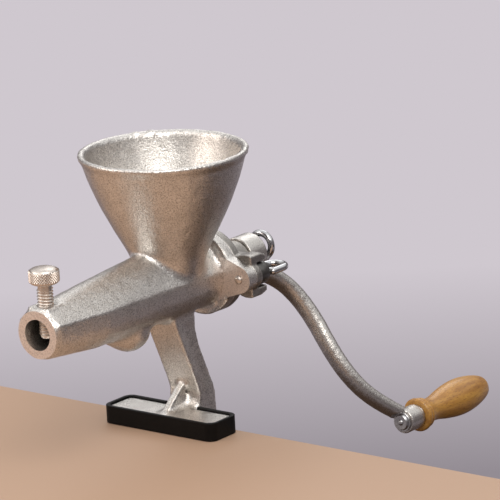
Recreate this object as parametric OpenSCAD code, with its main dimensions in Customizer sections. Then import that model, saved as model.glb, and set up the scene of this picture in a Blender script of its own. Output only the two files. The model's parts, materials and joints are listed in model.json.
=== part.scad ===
// Clamp-on hand crank grinder: one aluminium casting carries the hopper, the tapered barrel and
// the table clamp. A conical worm turns in the barrel, driven by an S-shaped crank at the rear.
// The origin is the centre of the clamp's seat, on the table top. +X runs towards the crank,
// +Y along the table's edge and +Z up.

/* [Barrel] */
// Height of the barrel's axis above the table top
axis_h = 105; // [100:1:130]
// Hopper axis to the centre of the clamp's seat, along the barrel
hopper_x = 9; // [6:1:12]
// Nozzle face to the hopper's axis
nozzle_x = 147; // [142:1:155]
// Radius of the nozzle, outside
nozzle_r = 17.2; // [16.5:0.1:18.5]
// Radius of the nozzle's bore
nozzle_bore_r = 11.25; // [9:0.25:12]
// Length of the nozzle's straight bore
nozzle_bore_l = 34; // [30:1:38]
// Half width of the barrel at the nozzle
barrel_front_w = 18.2; // [18:0.1:20]
// Half width of the barrel where its front taper ends
barrel_mid_w = 23.4; // [22.5:0.1:24]
// Half width of the barrel at the rear flange
barrel_rear_w = 24.6; // [24:0.1:26]
// Length of the front taper, from the nozzle's face
taper_l = 52; // [46:1:58]
// Height of the side edges above the axis, at the nozzle
edge_front_h = 8; // [7:0.1:9]
// Height of the side edges above the axis, at the rear flange
edge_rear_h = 4.5; // [4:0.1:6]
// Height of the roof above the axis, at the nozzle
roof_front_h = 19; // [18.4:0.1:20]
// Height of the roof above the axis, at the hopper
roof_mid_h = 29.5; // [28:0.1:31]
// Height of the roof above the axis, at the rear flange
roof_rear_h = 24; // [23:0.1:26]
// Radius of the conical bore behind the nozzle
bore_front_r = 13.5; // [12.5:0.25:14]
// Radius of the conical bore at the rear flange
bore_rear_r = 19; // [18:0.25:19.5]
// Radius of the belly under the barrel, in front of the leg
belly_r = 16.8; // [15.5:0.1:18]
// Drop of the belly's centre below the axis
belly_drop = 20; // [18:0.5:21]
// Centre of the belly, in front of the hopper's axis
belly_x = 51; // [48:1:56]

/* [Hopper] */
// Radius of the hopper's rim
rim_r = 60; // [54:1:66]
// Height of the rim above the axis
rim_h = 98.5; // [92:1:110]
// Wall of the hopper
hopper_wall = 4; // [3.5:0.25:5]
// Radius of the hopper's neck, outside
neck_r = 28; // [27:0.5:30]
// Height above the axis where the hopper starts to flare
neck_h = 22; // [20:1:26]
// Radius of the rolled lip
lip_r = 2.6; // [2.2:0.1:3.2]

/* [Flange and cover] */
// Front face of the rear flange, behind the hopper's axis
flange_x = 30.5; // [30:0.5:34]
// Thickness of the flange
flange_t = 9; // [8:0.5:11]
// Radius of the flange's disc
flange_r = 31; // [29.5:0.5:33]
// Front face of the disc behind the machined faces of the lobes
disc_step = 1; // [0.6:0.1:1.5]
// Screw centres to the axis
lobe_y = 38; // [38:0.5:41]
// Radius of the flange's lobes
lobe_r = 10; // [9.5:0.25:11]
// Thickness of the cover's plate
cover_t = 7; // [6:0.5:9]
// Height of the forked ears around the cover's screws
cover_ear_h = 10.5; // [9:0.5:12]
// Radius of the forked ears
ear_r = 16; // [15:0.5:17]
// Depth of the cover's spigot in the bore
spigot_l = 3; // [2.5:0.25:4]
// Rear end of the cover's bearing boss, behind the hopper's axis
boss_end_x = 76.5; // [74:0.5:78]
// Radius of the cover's bearing boss
boss_r = 13.5; // [13:0.25:14]
// Length of a cover screw's collar
collar_l = 10.5; // [10:0.5:12]
// Radius of a cover screw's collar
collar_r = 8.7; // [8.2:0.1:9.2]
// Length of the eye behind the collar
eye_l = 7; // [6.5:0.5:8]
// Radius of the eye
eye_r = 5.2; // [5:0.1:5.8]
// Radius of a cover screw's stud
stud_r = 3.2; // [3:0.1:3.5]
// Radius of the wire loops
wire_r = 2.6; // [2.2:0.1:2.8]
// Straight legs of a cover screw's loop
loop_leg = 11; // [9:0.5:12]

/* [Worm] */
// Radius of the worm's core at its front
core_front_r = 6.5; // [5.5:0.25:7.5]
// Radius of the worm's core at its rear
core_rear_r = 12; // [11:0.5:13]
// Lead of the worm's thread
worm_lead = 26; // [22:1:32]
// Thickness of the thread at its crest
thread_t = 3.2; // [2.6:0.2:4]
// Radius of the shaft
shaft_r = 8; // [7.5:0.25:8.5]
// Wall of the bearing bush
bush_wall = 2.2; // [2:0.1:2.6]
// Side of the square drive end
square_w = 11; // [10.4:0.1:11.2]

/* [Crank] */
// Length of the crank hub
hub_l = 18; // [17:0.5:19]
// Radius of the crank hub
hub_r = 15; // [14:0.5:15.5]
// Angle of the hanging crank from straight down, towards the front side
hang = 32; // [28:1:36]
// Crank radius, from the shaft to the handle's pin
crank_r = 159; // [150:1:165]
// Front face of the crank's end boss, behind the hopper's axis
end_boss_x = 157.5; // [154:0.5:160]
// Length of the crank's end boss
end_boss_l = 15; // [13:0.5:17]
// Radius of the crank's end boss
end_boss_r = 9.3; // [8.8:0.1:10]
// Half width of the arm at the hub, square to its curve's plane
arm_root_w = 8; // [7.5:0.25:8.5]
// Half thickness of the arm at the hub, in its curve's plane
arm_root_t = 6.3; // [5.8:0.1:6.6]
// Half width of the arm at its end boss
arm_tip_w = 6.6; // [6:0.2:7]
// Radius of the hub screw's collar
hub_collar_r = 8.2; // [7.6:0.1:8.6]
// Thickness of the hub screw's collar
hub_collar_l = 1.2; // [1:0.1:1.6]
// Radius of the hub screw's eye
hub_eye_r = 6; // [5.6:0.1:6.4]
// Length of the hub screw's eye
hub_eye_l = 7; // [6.5:0.25:7.5]
// Straight legs of the hub screw's loop
hub_loop_leg = 6.6; // [5.6:0.2:7.2]
// Angle of the hub screw's pivot from straight down, towards the front side
hub_loop_turn = 45; // [40:1:50]
// Fold of the hub screw's loop, from straight back to lying behind the hub
hub_loop_fold = 90; // [70:1:90]

/* [Handle] */
// Length of the wooden grip
grip_l = 84; // [78:1:92]
// Radius of the grip's collar
grip_collar_r = 12.8; // [12:0.2:13.6]
// Radius of the grip's neck
grip_neck_r = 9.2; // [8.6:0.2:10]
// Radius of the grip's belly
grip_belly_r = 13.8; // [13:0.2:15]
// Radius of the handle's pin
pin_r = 4; // [3.6:0.1:4.4]
// Radius of the pin's domed head
pin_head_r = 6.2; // [5.8:0.1:6.8]
// Thickness of the washers
washer_t = 1.5; // [1.2:0.1:2]

/* [Nozzle screw] */
// Axis of the nozzle screw behind the nozzle's face
screw_back = 11; // [10.5:0.5:12]
// Radius of the nozzle screw's shank
screw_r = 5.9; // [5.5:0.1:6.2]
// Radius of its knurled head
head_r = 10.8; // [10:0.2:11.6]
// Height of its knurled head
head_h = 11; // [10:0.5:12]
// Underside of the head above the barrel's axis
head_h0 = 34.5; // [33:0.5:36]
// Tip of the screw below the barrel's axis
tip_drop = 4; // [3:0.5:5]
// Top of the screw's pad above the barrel's axis
pad_top = 19.4; // [19:0.1:20.2]

/* [Clamp] */
// Width of the foot plate, across the table's edge
plate_w = 26; // [25:0.5:28]
// Length of the foot plate, along the table's edge
plate_l = 96; // [90:1:110]
// Thickness of the foot plate
plate_t = 8; // [7:0.5:9]
// Wall and floor of the rubber boot
boot_wall = 2.6; // [2.2:0.2:3.2]
// Floor of the rubber boot
boot_floor = 4; // [3.5:0.25:5]
// Lip of the boot above the plate
boot_lip = 1.3; // [1:0.1:1.6]
// Width of the leg and the clamp's spine
leg_w = 28; // [26:1:30]
// Depth of the spine, square to the table's edge
spine_d = 19; // [18:0.5:21]
// Depth of the clamp's mouth below the table top
mouth_h = 52; // [50:1:58]
// Height of the lower jaw
jaw_h = 15; // [14:0.5:18]
// Radius of the clamp screw's shank
clamp_r = 5.8; // [5.5:0.1:6.2]
// Pitch of the clamp screw's thread
clamp_pitch = 2; // [1.5:0.25:2.5]
// Top of the swivel pad below the table top
pad_gap = 24; // [20:1:26]
// Radius of the swivel pad
pad_r = 14; // [13:0.5:15]
// Length of the clamp screw below the jaw
screw_below = 34; // [33:1:38]
// Radius of the tommy bar
bar_r = 3; // [2.8:0.1:3.2]
// Length of the tommy bar
bar_l = 58; // [50:1:66]

/* [Fits] */
// Radial clearance of a shaft in its hole
fit_gap = 0.05; // [0.03:0.01:0.08]
// Clearance between faces that move past each other
run_gap = 0.3; // [0.3:0.05:0.4]
// Clearance of the worm's thread in the bore
worm_gap = 0.6; // [0.4:0.1:1]

/* [Hidden] */
$fn = 64;
through = 1;                                // how far a cutter runs past a face
flange_back = flange_x + flange_t;
cover_back = flange_back + cover_t;
ear_back = cover_back + cover_ear_h;
collar_front = cover_back + run_gap;
collar_back = collar_front + collar_l;
loop_x = collar_back + eye_l / 2;           // pivot of a cover screw's loop
slot_r = collar_r + 0.6;                    // half height of an ear's slot around the collar
lug_r = barrel_rear_w - 2;                  // the lobes' flanks run out inside the barrel
taper_x = -nozzle_x + taper_l;
neck_x = -neck_r - 1;                       // front of the hopper's neck on the roof
nozzle_back = -nozzle_x + nozzle_bore_l;    // where the conical bore starts
washer_front = flange_back - spigot_l - washer_t - run_gap;
worm_back = washer_front - run_gap;         // rear face of the worm's shoulder
shoulder_t = 3;
hub_front = boss_end_x + run_gap;
hub_back = hub_front + hub_l;
hub_collar_front = hub_back + washer_t;
hub_eye_back = hub_collar_front + hub_collar_l + hub_eye_l;
hub_loop_x = hub_eye_back - hub_eye_l / 2;  // pivot of the hub screw's loop
end_boss_back = end_boss_x + end_boss_l;
grip_front = end_boss_back + washer_t + run_gap;
boss_washer_r = pin_head_r + 1.2;
hub_washer_r = square_w * 0.85;             // covers the square hole's flats
screw_x = -nozzle_x + screw_back;
seat_r = screw_r + 2.5;                     // flat seat around the nozzle screw
boot_h = boot_floor + plate_t + boot_lip;
boot_gap = 0.1;                             // between the plate and the boot's pocket
spine_x = plate_w / 2 + boot_gap + boot_wall + 2;
spine_back = spine_x + spine_d;
plate_top = boot_floor + plate_t;
jaw_top = -mouth_h;
jaw_bottom = jaw_top - jaw_h;
pad_top_z = -pad_gap;
pad_t = 7;
ball_r = clamp_r + 1;
bar_z = jaw_bottom - screw_below + 7;       // height of the tommy bar's hole
knob_r = bar_r + 2;

// A value between two ends, at a place along X
function between(x, x1, x2, a, b) = a + (b - a) * (x - x1) / (x2 - x1);
// Half width of the barrel at a place along it
function barrel_w(x) = x < taper_x
    ? between(x, -nozzle_x, taper_x, barrel_front_w, barrel_mid_w)
    : between(x, taper_x, flange_x, barrel_mid_w, barrel_rear_w);
// Height of its side edges and of its roof
function edge_h(x) = between(x, -nozzle_x, flange_x, edge_front_h, edge_rear_h);
function roof_h(x) = x < neck_x
    ? between(x, -nozzle_x, neck_x, roof_front_h, roof_mid_h)
    : between(x, neck_x, flange_x, roof_mid_h, roof_rear_h);
// Radius of the conical bore at a place along it
function bore_r(x) = bore_front_r
    + (bore_rear_r - bore_front_r) * (x - nozzle_back) / (flange_back - nozzle_back);
// A point on a cubic curve
function curve(p, t) = pow(1 - t, 3) * p[0] + 3 * t * pow(1 - t, 2) * p[1]
    + 3 * t * t * (1 - t) * p[2] + pow(t, 3) * p[3];
// Its direction, as a unit vector
function heading(p, t) = unit(pow(1 - t, 2) * (p[1] - p[0]) + 2 * t * (1 - t) * (p[2] - p[1])
    + t * t * (p[3] - p[2]));
function unit(v) = v / norm(v);

// Places its children from the barrel's axis, under the hopper
module at_axis() {
    translate([hopper_x, 0, axis_h]) children();
}

// A cylinder along +X from one place to another
module rod_x(r, from, to) {
    translate([from, 0, 0]) rotate([0, 90, 0]) cylinder(r = r, h = to - from);
}

// A cone along +X
module cone_x(r1, r2, from, to) {
    translate([from, 0, 0]) rotate([0, 90, 0]) cylinder(r1 = r1, r2 = r2, h = to - from);
}

// Turns a profile of [radius, place along X] about the X axis
module turned_x(points) {
    rotate([0, 90, 0]) rotate_extrude() polygon(points);
}

// Stands a drawing of [y, z] up and gives it a thickness along +X
module plate_x(from, to) {
    translate([from, 0, 0]) rotate([90, 0, 90]) linear_extrude(to - from) children();
}

/* ---- Casting ---- */

// Cross-section of the barrel: round below, upright sides, and a steep arched roof
module barrel_section(x) {
    w = barrel_w(x);
    rise = roof_h(x) - edge_h(x);
    slope = [[w, 0], [0.65 * w, 0.55 * rise], [0.45 * w, rise], [0, rise]];
    steps = 8;
    bottom = [for (i = [0:12]) w * [-cos(15 * i), -sin(15 * i)]];
    near = [for (i = [0:steps]) curve(slope, i / steps) + [0, edge_h(x)]];
    far = [for (i = [1:steps]) let (p = curve(slope, 1 - i / steps)) [-p.x, p.y + edge_h(x)]];
    polygon(concat(bottom, near, far));
}

module barrel_shell() {
    slice = 0.1;
    stations = [-nozzle_x + 2, taper_x, neck_x, flange_x + 2];
    for (i = [0:len(stations) - 2]) hull() for (x = [stations[i], stations[i + 1]])
        plate_x(x, x + slice) barrel_section(x);
}

// Outline of the two lobes, with flanks that run in towards a middle of the given radius
module lobe_outline(middle_r) {
    tilt = asin((middle_r - lobe_r) / lobe_y);
    side = [sin(tilt), cos(tilt)];
    for (s = [-1, 1]) {
        translate([s * lobe_y, 0]) circle(lobe_r);
        polygon([[0, 0],
            [s * middle_r * side.x, middle_r * side.y],
            [s * (lobe_y + lobe_r * side.x), lobe_r * side.y],
            [s * (lobe_y + lobe_r * side.x), -lobe_r * side.y],
            [s * middle_r * side.x, -middle_r * side.y]]);
    }
}

module flange() {
    plate_x(flange_x, flange_back) lobe_outline(lug_r);
    plate_x(flange_x + disc_step, flange_back) circle(flange_r);
}

// Curve of the hopper's wall from the neck to the rim, as [radius, height]
throat_r = barrel_rear_w - 0.8;             // the neck narrows to fit on the barrel
hopper_curve = [[neck_r, neck_h], [neck_r + 2, neck_h + 8],
    [rim_r - 8, rim_h * 0.63], [rim_r, rim_h]];
hopper_steps = 20;
hopper_out = [for (i = [0:hopper_steps]) curve(hopper_curve, i / hopper_steps)];
hopper_in = [for (i = [0:hopper_steps])
    let (h = heading(hopper_curve, i / hopper_steps))
    curve(hopper_curve, i / hopper_steps) + hopper_wall * [-h.y, h.x]];

module hopper_outside() {
    rotate_extrude() polygon(concat([[0, 0], [throat_r, 0], [throat_r, edge_front_h]],
        hopper_out, [[0, rim_h]]));
    translate([0, 0, rim_h - lip_r / 2]) rotate_extrude() translate([rim_r - lip_r / 2, 0])
        circle(lip_r);
}

module hopper_inside() {
    inner = hopper_in[hopper_steps];
    inlet_r = throat_r - hopper_wall - 1;
    rotate_extrude() polygon(concat([[0, 0], [inlet_r, 0], [inlet_r, edge_front_h]],
        hopper_in, [[inner.x, rim_h + 2 * lip_r], [0, rim_h + 2 * lip_r]]));
}

// Flat-topped pad for the nozzle screw, with sloping flanks
module screw_pad() {
    half_foot = nozzle_r - 1;
    foot_h = nozzle_r * 0.35;
    plate_x(-nozzle_x + 1.5, -nozzle_x + 2 * screw_back + 5)
        polygon([[-half_foot, foot_h], [half_foot, foot_h], [seat_r, pad_top],
            [-seat_r, pad_top]]);
}

// Swelling under the barrel: round behind, and drawn out to a point in front
module belly() {
    steps = 12;
    arc = [for (i = [0:steps]) belly_r * [sin(10 * i), cos(10 * i)]];
    translate([-belly_x, 0, -belly_drop])
        turned_x(concat(arc, [[belly_r * 0.12, -belly_r * 1.79], [0, -belly_r * 1.79]]));
}

module barrel_inside() {
    rod_x(nozzle_bore_r, -nozzle_x - through, nozzle_back + through);
    cone_x(bore_front_r, bore_rear_r, nozzle_back, flange_back);
    rod_x(bore_rear_r, flange_back - spigot_l - run_gap, flange_back + through);
}

// Side view of the leg and the table clamp, as [x, z] from the clamp's seat
module clamp_outline() {
    top_z = axis_h - 0.78 * barrel_w(0);
    front_top = hopper_x - 17;
    back_top = hopper_x + 9;
    knee = [[spine_back, plate_t], [spine_back, axis_h * 0.39], [back_top, top_z * 0.57],
        [back_top, top_z]];
    shin = [[front_top, top_z], [front_top + 7, top_z * 0.77], [spine_x - 9, top_z * 0.57],
        [spine_x, plate_top + 11]];
    steps = 10;
    jaw_tip = -pad_r;
    polygon(concat(
        [for (i = [0:steps]) curve(shin, i / steps)],
        [[spine_x - 1, plate_top + 3], [spine_x - 4, plate_top],
            [plate_w / 2 - 5, plate_top], [plate_w / 2 - 5, boot_floor],
            [spine_x - 1.5, boot_floor], [spine_x, boot_floor - 1.5],
            [spine_x, jaw_top + 4], [spine_x - 4, jaw_top],
            [jaw_tip, jaw_top], [jaw_tip, jaw_bottom + 4], [jaw_tip + 6, jaw_bottom],
            [spine_back - 10, jaw_bottom], [spine_back - 3, jaw_bottom + 3],
            [spine_back, jaw_bottom + 10]],
        [for (i = [0:steps]) curve(knee, i / steps)]));
}

// Stands a drawing of [x, z] up, centred on the middle plane
module upright(width) {
    translate([0, width / 2, 0]) rotate([90, 0, 0]) linear_extrude(width) children();
}

// A rectangle with round corners
module rounded(w, l, r) {
    square([w - 2 * r, l], center = true);
    square([w, l - 2 * r], center = true);
    for (x = [-1, 1], y = [-1, 1]) translate([x * (w / 2 - r), y * (l / 2 - r)]) circle(r);
}

module table_clamp() {
    rib_t = 6;
    rib_reach = plate_w / 2 - 5;
    jaw_boss_r = clamp_r + 6.5;
    upright(leg_w) clamp_outline();
    upright(rib_t) polygon([[spine_x - 1, plate_top + 20], [-rib_reach, plate_top],
        [spine_x - 1, plate_top]]);
    translate([0, 0, boot_floor]) linear_extrude(plate_t) rounded(plate_w, plate_l, 5);
    translate([0, 0, jaw_bottom - 3]) cylinder(r = jaw_boss_r, h = jaw_h + 5);
}

module body_casting() {
    color("silver") difference() {
        union() {
            at_axis() {
                barrel_shell();
                rod_x(nozzle_r, -nozzle_x, -nozzle_x + screw_back);
                screw_pad();
                flange();
                hopper_outside();
                belly();
            }
            table_clamp();
        }
        at_axis() {
            barrel_inside();
            hopper_inside();
            translate([screw_x, 0, 0]) cylinder(r = screw_r + fit_gap, h = roof_mid_h);
            translate([screw_x, 0, pad_top - 0.2])
                cylinder(r = seat_r - 0.5, h = roof_mid_h - pad_top);
            for (s = [-1, 1]) translate([0, s * lobe_y, 0])
                rod_x(stud_r + fit_gap, flange_x - through, flange_back + through);
        }
        translate([0, 0, jaw_bottom - 3 - through])
            cylinder(r = clamp_r + fit_gap, h = jaw_h + 5 + 2 * through);
    }
}

module foot_boot() {
    pocket_w = plate_w + 2 * boot_gap;
    pocket_l = plate_l + 2 * boot_gap;
    notch_w = leg_w + 2 * boot_gap;
    color("dimgray") difference() {
        linear_extrude(boot_h) rounded(pocket_w + 2 * boot_wall, pocket_l + 2 * boot_wall, 7);
        translate([0, 0, boot_floor]) linear_extrude(boot_h) rounded(pocket_w, pocket_l, 5);
        translate([0, -notch_w / 2, boot_floor]) cube([spine_x, notch_w, boot_h]);
    }
}

/* ---- Rear cover and its screws ---- */

// Forked ear around a cover screw: a thick lug with a slot that opens outwards
module forked_ear(s) {
    lug_taper = 2;
    prong_reach = 5;
    difference() {
        translate([0, s * lobe_y, 0]) {
            rod_x(ear_r, flange_back, ear_back - 3 * lug_taper);
            cone_x(ear_r, ear_r - lug_taper, ear_back - 3 * lug_taper, ear_back);
        }
        translate([0, s * (lobe_y + prong_reach), 0])
            translate([flange_back - through, s > 0 ? 0 : -2 * ear_r, -2 * ear_r])
            cube([3 * cover_ear_h, 2 * ear_r, 4 * ear_r]);
    }
}

module rear_cover() {
    bush_r = shaft_r + bush_wall;
    web_step = 3;                           // the webs lie this far below the ears' tops
    web_end = ear_r - 1.2;
    color("silver") at_axis() difference() {
        union() {
            plate_x(flange_back, cover_back) lobe_outline(lug_r);
            rod_x(flange_r, flange_back, cover_back);
            rod_x(bore_rear_r - run_gap, flange_back - spigot_l, flange_back + through);
            rod_x(boss_r, cover_back - through, boss_end_x);
            cone_x(boss_r + 8, boss_r - 1, cover_back - through, ear_back + 3);
            for (s = [-1, 1]) {
                forked_ear(s);
                plate_x(cover_back - through, ear_back - web_step) polygon([[0, boss_r - 1],
                    [s * lobe_y, web_end], [s * lobe_y, -web_end], [0, 1 - boss_r]]);
            }
        }
        rod_x(bush_r, flange_back - spigot_l - through, boss_end_x + through);
        for (s = [-1, 1]) translate([0, s * lobe_y, 0]) {
            rod_x(stud_r + fit_gap, flange_back - through, ear_back + through);
            rod_x(slot_r, cover_back, ear_back + through);
            translate([cover_back, s > 0 ? 0 : -2 * ear_r, -slot_r])
                cube([2 * cover_ear_h, 2 * ear_r, 2 * slot_r]);
        }
    }
}

module shaft_bush() {
    bush_front = flange_back - spigot_l;
    color("peru") at_axis() difference() {
        rod_x(shaft_r + bush_wall, bush_front, boss_end_x);
        rod_x(shaft_r + fit_gap, bush_front - through, boss_end_x + through);
    }
}

// A screw along +X from its collar's front face: a stud with a domed end, a collar, and an eye
// behind it with a cross-hole for the wire loop
module loop_screw(r, l, stud_l, eye_r, eye_l) {
    chamfer = min(0.8, l / 3);
    end = l + eye_l;
    difference() {
        turned_x([[0, -stud_l], [stud_r * 0.6, -stud_l], [stud_r, -stud_l + 1.2],
            [stud_r, 0], [r - chamfer, 0], [r, chamfer], [r, l - chamfer],
            [r - chamfer, l], [eye_r, l], [eye_r, end - chamfer],
            [eye_r - chamfer, end], [0, end]]);
        translate([l + eye_l / 2, -eye_r - through, 0]) rotate([-90, 0, 0])
            cylinder(r = wire_r + fit_gap, h = 2 * (eye_r + through));
    }
}

// Wire loop about a pivot along Y: two ends in the eye's cross-hole, two legs and a half round
module wire_loop(r, leg) {
    reach = r + wire_r + run_gap;
    end_gap = 0.5;
    for (s = [-1, 1]) {
        translate([0, s * reach, 0]) rotate([s * 90, 0, 0])
            cylinder(r = wire_r, h = reach - end_gap);
        translate([0, s * reach, 0]) sphere(wire_r);
        translate([0, s * reach, 0]) rod_x(wire_r, 0, leg);
    }
    translate([leg, 0, 0]) rotate([0, 0, -90]) rotate_extrude(angle = 180)
        translate([reach, 0]) circle(wire_r);
}

module cover_screw(s) {
    stud_out = 2;
    stud_l = collar_front - flange_x + stud_out;
    color("dimgray") at_axis() translate([collar_front, s * lobe_y, 0])
        loop_screw(collar_r, collar_l, stud_l, eye_r, eye_l);
}

module cover_screw_loop(s) {
    color("gainsboro") at_axis() translate([loop_x, s * lobe_y, 0])
        wire_loop(eye_r, loop_leg);
}

module near_cover_screw() {
    cover_screw(-1);
}

module far_cover_screw() {
    cover_screw(1);
}

module near_screw_loop() {
    cover_screw_loop(-1);
}

module far_screw_loop() {
    cover_screw_loop(1);
}

/* ---- Worm ---- */

// Radius of the worm's core and of its thread at a place along it
function core_r(x) = core_front_r
    + (core_rear_r - core_front_r) * (x - nozzle_back) / (worm_back - nozzle_back);
function crest_r(x) = bore_r(x) - worm_gap;

// Four corners of the thread's section at a place along it, turned with the lead
function thread_ring(x, fade) =
    let (a = 360 * x / worm_lead, foot = core_r(x) - 1.5,
        crest = foot + (crest_r(x) - foot) * fade, wide = thread_t * 0.9)
    [for (q = [[-wide, foot], [-thread_t / 2, crest], [thread_t / 2, crest], [wide, foot]])
        [x + q.x, q.y * cos(a), q.y * sin(a)]];

module worm_thread() {
    first = nozzle_back + 4;
    last = worm_back - shoulder_t - 1;
    per_turn = 22;
    count = ceil((last - first) / worm_lead * per_turn);
    rings = [for (i = [0:count])
        let (t = i / count, fade = min(1, 0.15 + 12 * min(t, 1 - t)))
        thread_ring(first + (last - first) * t, fade)];
    points = [for (ring = rings, p = ring) p];
    sides = [for (i = [0:count - 1], k = [0:3])
        let (a = 4 * i + k, b = 4 * i + (k + 1) % 4) [b, b + 4, a + 4, a]];
    polyhedron(points, concat(sides, [[3, 2, 1, 0]],
        [[4 * count, 4 * count + 1, 4 * count + 2, 4 * count + 3]]), convexity = 12);
}

module worm() {
    tapped_r = stud_r + fit_gap;
    color("darkgray") at_axis() difference() {
        union() {
            cone_x(core_front_r, core_rear_r, nozzle_back, worm_back);
            cone_x(core_front_r * 0.45, core_front_r, nozzle_back - 5, nozzle_back);
            worm_thread();
            rod_x(crest_r(worm_back) - 2, worm_back - shoulder_t, worm_back);
            rod_x(shaft_r, worm_back - 1, hub_front);
            translate([hub_front - 1, -square_w / 2, -square_w / 2])
                cube([hub_l + 1 - run_gap, square_w, square_w]);
        }
        rod_x(tapped_r, hub_back - hub_l + 2, hub_back + through);
    }
}

module thrust_washer() {
    color("tan") at_axis() difference() {
        rod_x(boss_r + 3, washer_front, washer_front + washer_t);
        rod_x(shaft_r + fit_gap, washer_front - through, washer_front + washer_t + through);
    }
}

/* ---- Crank ---- */

// Turns its children so that -Z points along the hanging crank
module hanging() {
    at_axis() rotate([-hang, 0, 0]) children();
}

// The arm's curve, as [x, drop below the shaft]: out from the hub, straight down, out to the boss
arm_reach = 35.5;                           // from the arm's straight middle to its end boss
arm_mid = [end_boss_x - arm_reach, crank_r * 0.434];
arm_upper = [[hub_back - 7, 5], [hub_back - 7, 23], [arm_mid.x - 4, 14], arm_mid];
arm_lower = [arm_mid, [arm_mid.x, crank_r * 0.76], [end_boss_x - 22, crank_r * 0.83],
    [end_boss_x + 5, crank_r - 3]];

// A ring of the arm's oval section around a point of its curve
function arm_ring(p, h, w, t) =
    [for (i = [0:15])
        let (a = 360 * i / 16)
        [p.x + t * sin(a) * h.y, w * cos(a), -p.y + t * sin(a) * h.x]];

module arm_sweep() {
    steps = 14;
    sides = 16;
    halves = [arm_upper, arm_lower];
    rings = [for (j = [0:1], i = [j:steps])
        let (t = i / steps, s = (j + t) / 2, c = halves[j],
            w = arm_root_w + (arm_tip_w - arm_root_w) * s,
            thick = arm_root_t + (arm_tip_w - 0.8 - arm_root_t) * s)
        arm_ring(curve(c, t), heading(c, t), w, thick)];
    last = len(rings) - 1;
    points = [for (ring = rings, p = ring) p];
    walls = [for (i = [0:last - 1], k = [0:sides - 1])
        let (a = sides * i + k, b = sides * i + (k + 1) % sides)
        [a, a + sides, b + sides, b]];
    polyhedron(points, concat(walls, [[for (k = [0:sides - 1]) k]],
        [[for (k = [0:sides - 1]) sides * last + sides - 1 - k]]), convexity = 6);
}

module crank_arm() {
    slack = 0.1;
    hole_w = square_w + 2 * slack;
    color("silver") hanging() difference() {
        union() {
            rod_x(hub_r, hub_front, hub_back);
            arm_sweep();
            translate([0, 0, -crank_r]) rod_x(end_boss_r, end_boss_x, end_boss_back);
        }
        rotate([hang, 0, 0]) translate([hub_front - through, -hole_w / 2, -hole_w / 2])
            cube([hub_l + 2 * through, hole_w, hole_w]);
        translate([0, 0, -crank_r])
            rod_x(pin_r + fit_gap, end_boss_x - through, end_boss_back + through);
        translate([0, 0, -crank_r])
            rod_x(boss_washer_r + run_gap, end_boss_x - end_boss_l, end_boss_x);
        rod_x(hub_washer_r + run_gap, hub_back, hub_eye_back);
    }
}

module hub_washer() {
    color("gainsboro") at_axis() difference() {
        rod_x(hub_washer_r, hub_back, hub_back + washer_t);
        rod_x(stud_r + fit_gap, hub_back - through, hub_back + washer_t + through);
    }
}

module hub_screw() {
    color("dimgray") at_axis() rotate([90 - hub_loop_turn, 0, 0])
        translate([hub_collar_front, 0, 0])
        loop_screw(hub_collar_r, hub_collar_l, hub_l - 3, hub_eye_r, hub_eye_l);
}

module hub_screw_loop() {
    color("gainsboro") at_axis() rotate([90 - hub_loop_turn, 0, 0])
        translate([hub_loop_x, 0, 0]) rotate([0, -hub_loop_fold, 0])
        wire_loop(hub_eye_r, hub_loop_leg);
}

/* ---- Handle ---- */

grip_end = grip_front + grip_l;
recess_l = 4;
rivet_t = 2;

module on_pin() {
    hanging() translate([0, 0, -crank_r]) children();
}

module handle_pin() {
    head_h = 3;
    head_x = end_boss_x - washer_t;
    dome = [for (i = [0:8]) let (a = 90 * i / 8)
        [pin_head_r * sin(a), head_x - head_h * cos(a)]];
    tail = grip_end - 0.5;
    color("gainsboro") on_pin() turned_x(concat(dome, [[pin_r, head_x],
        [pin_r, tail - rivet_t], [pin_r + 1.4, tail - rivet_t], [pin_r + 1, tail], [0, tail]]));
}

module pin_ring(r, from) {
    color("gainsboro") on_pin() difference() {
        rod_x(r, from, from + washer_t);
        rod_x(pin_r + fit_gap, from - through, from + washer_t + through);
    }
}

module boss_washer() {
    pin_ring(boss_washer_r, end_boss_x - washer_t);
}

module grip_washer() {
    pin_ring(end_boss_r - 0.5, end_boss_back);
}

// Half outline of the grip: a collar with two grooves, a waist, a belly and a round end
module wooden_grip() {
    c = grip_collar_r;
    bead = 2.2;
    collar = [[c - 1.4, 0], [c - 0.3, 0.8], [c, 2.4], [c - 0.3, 4.2], [c - 1.3, 4.8],
        [c - 0.9, 5.6], [c - 0.9, 5.6 + bead], [c - 2.2, 6.4 + bead]];
    waist = [[c - 2.2, 6.4 + bead], [grip_neck_r - 0.6, 12 + bead],
        [grip_neck_r - 0.6, 18], [grip_neck_r + 1, 26]];
    belly = [[grip_neck_r + 1, 26], [grip_belly_r + 0.6, 40], [grip_belly_r + 2.6, 66],
        [7.6, grip_l - 1]];
    steps = 10;
    outline = concat(collar,
        [for (i = [1:steps]) curve(waist, i / steps)],
        [for (i = [1:steps + 2]) curve(belly, i / (steps + 2))],
        [[6.6, grip_l], [0, grip_l]]);
    color("burlywood") on_pin() difference() {
        translate([grip_front, 0, 0]) turned_x(concat([[0, 0]], outline));
        rod_x(pin_r + fit_gap, grip_front - through, grip_end + through);
        rod_x(pin_r + 1.8, grip_end - recess_l, grip_end + through);
    }
}

/* ---- Nozzle screw ---- */

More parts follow.
